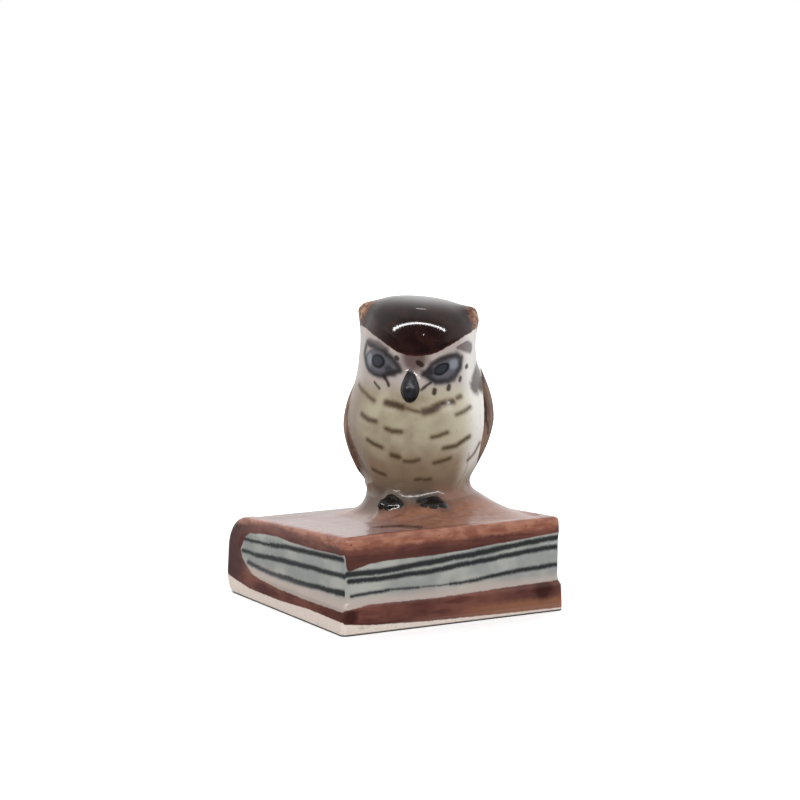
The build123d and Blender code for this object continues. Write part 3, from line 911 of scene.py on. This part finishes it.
def bare_porcelain():
    finish = Finish("bare_porcelain", roughness=0.6)
    fine = finish.cloud(0.2, detail=5.0)
    colour, _ = book_paint(finish)
    soil = finish.cloud(2.2, shift=4.0).rise(0.6, 0.75)
    colour = finish.mix(colour, tint(130, 96, 74), soil * 0.4)
    # painted contact shadow: darker in the last 0.3 mm above the table
    colour = finish.mix(colour, tint(58, 44, 38), finish.z.rise(0.3, 0.12))
    finish.bump(fine, 0.012)
    return finish.close(colour, fine * 0.2 + 0.5)


def body_glaze():
    finish = Finish("body_glaze", roughness=0.24)
    glaze_skin(finish)
    flat = finish.owl_map()
    colour = plumage(finish)
    colour = feather_strokes(finish, colour, flat, CHIN_STROKES + CHEST_STROKES)
    edges = finish.strokes(finish.wander(flat, 0.2, 0.9), BELLY_EDGES)
    colour = laid(finish, colour, tint(96, 78, 64), edges, soft=0.3, strength=0.6)
    colour = shoulder_patch(finish, back_coat(finish, flat, colour), flat)
    return finish.close(toe_stain(finish, colour))


def face_glaze():
    finish = Finish("face_glaze", roughness=0.12)
    glaze_skin(finish)
    flat = finish.owl_map()
    colour = plumage(finish)
    colour = feather_strokes(finish, colour, flat, CHIN_STROKES)
    colour = face_paint(finish, colour, flat)
    colour = back_coat(finish, flat, colour)
    return finish.close(dark_crown_paint(finish, colour))


def crown_glaze():
    finish = Finish("crown_glaze")
    glaze_skin(finish, 0.012)
    flat = finish.owl_map()
    colour = back_coat(finish, flat, plumage(finish))
    return finish.close(dark_crown_paint(finish, brow_stain(finish, colour, flat)))


def tuft_glaze():
    finish = Finish("tuft_glaze")
    glaze_skin(finish, 0.03)
    finish.owl_map()
    return finish.close(dark_crown_paint(finish, plumage(finish)))


def beak_glaze():
    finish = Finish("beak_glaze", roughness=0.32, mirror=0.2)
    glaze_skin(finish)
    flat = finish.owl_map()
    soft = finish.cloud(0.6, detail=3.0)
    colour = finish.mix(tint(28, 28, 31), tint(46, 48, 54), soft.rise(0.35, 0.65))
    rim = finish.disc(finish.wander(flat, 0.12, 0.6), (-0.3, 27.7), 0.95, 1.5).rise(0.16, -0.05)
    colour = finish.mix(colour, tint(22, 20, 20), rim)
    return finish.close(colour)


def wing_glaze():
    finish = Finish("wing_glaze", roughness=0.4, mirror=0.05)
    glaze_skin(finish)
    flat = finish.owl_map()
    return finish.close(wing_paint(finish, flat))


def toe_glaze():
    finish = Finish("toe_glaze")
    glaze_skin(finish)
    dark = finish.mix(tint(18, 16, 15), tint(44, 38, 33), finish.cloud(0.7).rise(0.5, 0.75))
    return finish.close(dark)


finishes = {
    make.__name__: make()
    for make in (
        cover_glaze, page_glaze, bare_porcelain, body_glaze, face_glaze, crown_glaze,
        tuft_glaze, beak_glaze, wing_glaze, toe_glaze,
    )
}

for name, node, slot, _ in PIECES:
    piece = made[name]
    piece.data.materials.clear()
    piece.data.materials.append(finishes[slot])
    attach(piece, "root")
    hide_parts(node)


# ---------------------------------------------------------------- table, light, camera

# The camera: round the object, above it, and rolled a little, with a long lens. Its
# distance, its lens and what it aims at, across and up, are in mm.
VIEW_ROUND = math.radians(-31.19)
VIEW_RISE = math.radians(8.72)
VIEW_ROLL = math.radians(0.83)
VIEW_DISTANCE = 375.44
VIEW_CENTRE = (0.94, 25.017)
VIEW_LENS = 135.0
VIEW_SENSOR = 36.0

# The studio is white to the camera. Its light on the object is WORLD_LIGHT, and less by
# FRONT_SHADE of that from in front, where the room is dark. In the glaze the room is white
# and the table TABLE_MIRRORED as bright, and both are FRONT_MIRRORED in front.
WORLD_LIGHT = 0.78
FRONT_SHADE = 0.6
FRONT_MIRRORED = 0.1
TABLE_MIRRORED = 0.8
# Where the room and the table grow dark, from 1 straight ahead to -1 straight behind.
ROOM_TURNS = (0.1, 0.9)
TABLE_TURNS = (-0.3, 0.6)
# The table glows less round the object: the distances in metres between which it clears,
# and how bright it is inside the first.
TABLE_SHADOW = (0.03, 0.14)
TABLE_SHADOWED = 0.36
TABLE_WIDTH = 6.0
TABLE_PAPER = (0.8, 0.8, 0.8, 1.0)

# Lamps: way round the object and height in degrees, distance, width and height in metres,
# and brightness, where paper is 1. The fills light the object and don't show in the glaze.
# The glints show in the glaze and don't light the object.
LAMP_AIM = Vector((0.004, 0.002, 0.025))
FILLS = (
    ("front_fill", -31.0, 40.0, 0.5, 0.5, 0.35, 2.1),
    ("back_fill", 149.0, 45.0, 0.5, 0.5, 0.4, 1.8),
)
GLINTS = (
    ("back_window", 140.0, 62.0, 0.44, 0.05, 0.03, 8.0),
    ("small_light", -22.0, 16.0, 0.4, 0.012, 0.012, 40.0),
)
# An arch of lamps over the camera, which shows in the glaze as one bent white band: its
# middle, half its spread, its top and the drop of its ends in degrees, the distance and
# thickness of its lamps in metres, how much they overlap, and their brightness.
ARCH_LAMPS = 21
ARCH_MIDDLE = -31.0
ARCH_REACH = 52.0
ARCH_TOP = 44.0
ARCH_DROP = 22.0
ARCH_AWAY = 0.42
ARCH_THICKNESS = 0.042
ARCH_OVERLAP = 1.05
ARCH_BRIGHTNESS = 34.0


def towards(round_about, rise):
    """Direction of a compass point round the object, 0 before its fore-edge, and a height."""
    round_about, rise = math.radians(round_about), math.radians(rise)
    return Vector((
        math.sin(round_about) * math.cos(rise),
        -math.cos(round_about) * math.cos(rise),
        math.sin(rise),
    ))


def node_in(tree, kind, inputs=None, **settings):
    node = tree.nodes.new(kind)
    for key, value in settings.items():
        setattr(node, key, value)
    for socket, value in (inputs or {}).items():
        if isinstance(value, bpy.types.NodeSocket):
            tree.links.new(value, node.inputs[socket])
        else:
            node.inputs[socket].default_value = value
    return node


def maths(tree, operation, first, second):
    return node_in(tree, "ShaderNodeMath", {0: first, 1: second}, operation=operation).outputs[0]


def eased(tree, value, span, start, end):
    """A level that goes gently from start to end while value crosses the span."""
    low, high = span
    return node_in(
        tree, "ShaderNodeMapRange",
        {"Value": value, "From Min": low, "From Max": high, "To Min": start, "To Max": end},
        interpolation_type="SMOOTHSTEP",
    ).outputs[0]


def straight_ahead(tree, direction):
    """1 in front of the object, where the camera stands, 0 beside it and -1 behind it."""
    front = towards(math.degrees(VIEW_ROUND), 0.0)
    return node_in(
        tree, "ShaderNodeVectorMath", {0: direction, 1: front}, operation="DOT_PRODUCT"
    ).outputs["Value"]


def ray_kinds(tree):
    """Whether a thing is seen by the camera, and whether in a mirror or through glass."""
    rays = node_in(tree, "ShaderNodeLightPath").outputs
    mirrored = maths(tree, "MAXIMUM", rays["Is Glossy Ray"], rays["Is Transmission Ray"])
    return rays["Is Camera Ray"], mirrored


def pale_table():
    """White paper that glows as the walls do, so that it has no edge and no horizon."""
    deselect()
    bpy.ops.mesh.primitive_plane_add(size=TABLE_WIDTH, location=(0.0, 0.0, 0.0))
    table = bpy.context.object
    table.name = "pale_table"
    paper = bpy.data.materials.new("table_paper")
    paper.use_nodes = True
    tree = paper.node_tree
    tree.nodes.clear()
    place = node_in(tree, "ShaderNodeTexCoord").outputs["Object"]
    away = node_in(tree, "ShaderNodeVectorMath", {0: place}, operation="LENGTH").outputs["Value"]
    clear = eased(tree, away, TABLE_SHADOW, TABLE_SHADOWED, 1.0)
    heading = node_in(
        tree, "ShaderNodeVectorMath", {0: place}, operation="NORMALIZE"
    ).outputs["Vector"]
    side = eased(
        tree, straight_ahead(tree, heading), TABLE_TURNS, TABLE_MIRRORED, FRONT_MIRRORED
    )
    by_camera, mirrored = ray_kinds(tree)
    level = maths(tree, "MULTIPLY", by_camera, clear)
    glow = node_in(tree, "ShaderNodeEmission", {"Strength": level}).outputs[0]
    matt = node_in(tree, "ShaderNodeBsdfDiffuse", {"Color": TABLE_PAPER}).outputs[0]
    seen = node_in(tree, "ShaderNodeAddShader", {0: matt, 1: glow}).outputs[0]
    level = maths(tree, "MULTIPLY", side, clear)
    image = node_in(tree, "ShaderNodeEmission", {"Strength": level}).outputs[0]
    either = node_in(tree, "ShaderNodeMixShader", {0: mirrored, 1: seen, 2: image}).outputs[0]
    node_in(tree, "ShaderNodeOutputMaterial", {"Surface": either})
    table.data.materials.append(paper)


def studio_world():
    """Walls that are white to the camera, and darker in front to the object and its glaze."""
    world = bpy.data.worlds.new("studio")
    bpy.context.scene.world = world
    world.use_nodes = True
    tree = world.node_tree
    tree.nodes.clear()
    outwards = node_in(tree, "ShaderNodeTexCoord").outputs["Generated"]
    facing = straight_ahead(tree, outwards)
    lit = eased(tree, facing, ROOM_TURNS, WORLD_LIGHT, WORLD_LIGHT * (1 - FRONT_SHADE))
    seen_in_glaze = eased(tree, facing, ROOM_TURNS, 1.0, FRONT_MIRRORED)
    by_camera, mirrored = ray_kinds(tree)
    level = node_in(
        tree, "ShaderNodeMapRange", {"Value": mirrored, "To Min": lit, "To Max": seen_in_glaze}
    ).outputs[0]
    level = maths(tree, "MAXIMUM", level, by_camera)
    sky = node_in(tree, "ShaderNodeBackground", {"Color": (1, 1, 1, 1), "Strength": level})
    node_in(tree, "ShaderNodeOutputWorld", {"Surface": sky.outputs[0]})


def softbox(name, round_about, rise, away, width, height, brightness, mirrored=True, lights=True):
    """A flat lamp that faces the object; brightness is that of its face, where paper is 1."""
    lamp = bpy.data.lights.new(name, "AREA")
    lamp.shape = "RECTANGLE"
    lamp.size = width
    lamp.size_y = height
    lamp.energy = brightness * math.pi * width * height
    holder = bpy.data.objects.new(name, lamp)
    bpy.context.scene.collection.objects.link(holder)
    outwards = towards(round_about, rise)
    holder.location = LAMP_AIM + outwards * away
    holder.rotation_euler = outwards.to_track_quat("Z", "Y").to_euler()
    holder.visible_glossy = mirrored
    holder.visible_diffuse = lights


def arch_of_lamps():
    """Lamps side by side along the arch, each as wide as its share of it."""
    step = math.radians(2 * ARCH_REACH / (ARCH_LAMPS - 1))
    for number in range(ARCH_LAMPS):
        aside = ARCH_REACH * (2 * number / (ARCH_LAMPS - 1) - 1)
        rise = ARCH_TOP - ARCH_DROP * (aside / ARCH_REACH) ** 2
        width = ARCH_OVERLAP * step * ARCH_AWAY * math.cos(math.radians(rise))
        softbox(
            f"arch_light_{number}", ARCH_MIDDLE + aside, rise, ARCH_AWAY, width,
            ARCH_THICKNESS, ARCH_BRIGHTNESS, lights=False,
        )


pale_table()
studio_world()
for fill in FILLS:
    softbox(*fill, mirrored=False)
arch_of_lamps()
for glint in GLINTS:
    softbox(*glint, lights=False)

back = towards(math.degrees(VIEW_ROUND), math.degrees(VIEW_RISE))
right = Vector((math.cos(VIEW_ROUND), math.sin(VIEW_ROUND), 0.0))
up = back.cross(right)
right, up = (
    right * math.cos(VIEW_ROLL) + up * math.sin(VIEW_ROLL),
    up * math.cos(VIEW_ROLL) - right * math.sin(VIEW_ROLL),
)
lens = bpy.data.cameras.new("camera")
lens.lens = VIEW_LENS
lens.sensor_width = VIEW_SENSOR
lens.clip_start = 0.01
camera = bpy.data.objects.new("camera", lens)
bpy.context.scene.collection.objects.link(camera)
place = (back * VIEW_DISTANCE + right * VIEW_CENTRE[0] + up * VIEW_CENTRE[1]) * MM
camera.matrix_world = Matrix.Translation(place) @ Matrix((right, up, back)).transposed().to_4x4()
bpy.context.scene.camera = camera
bpy.context.scene.view_settings.view_transform = "Standard"
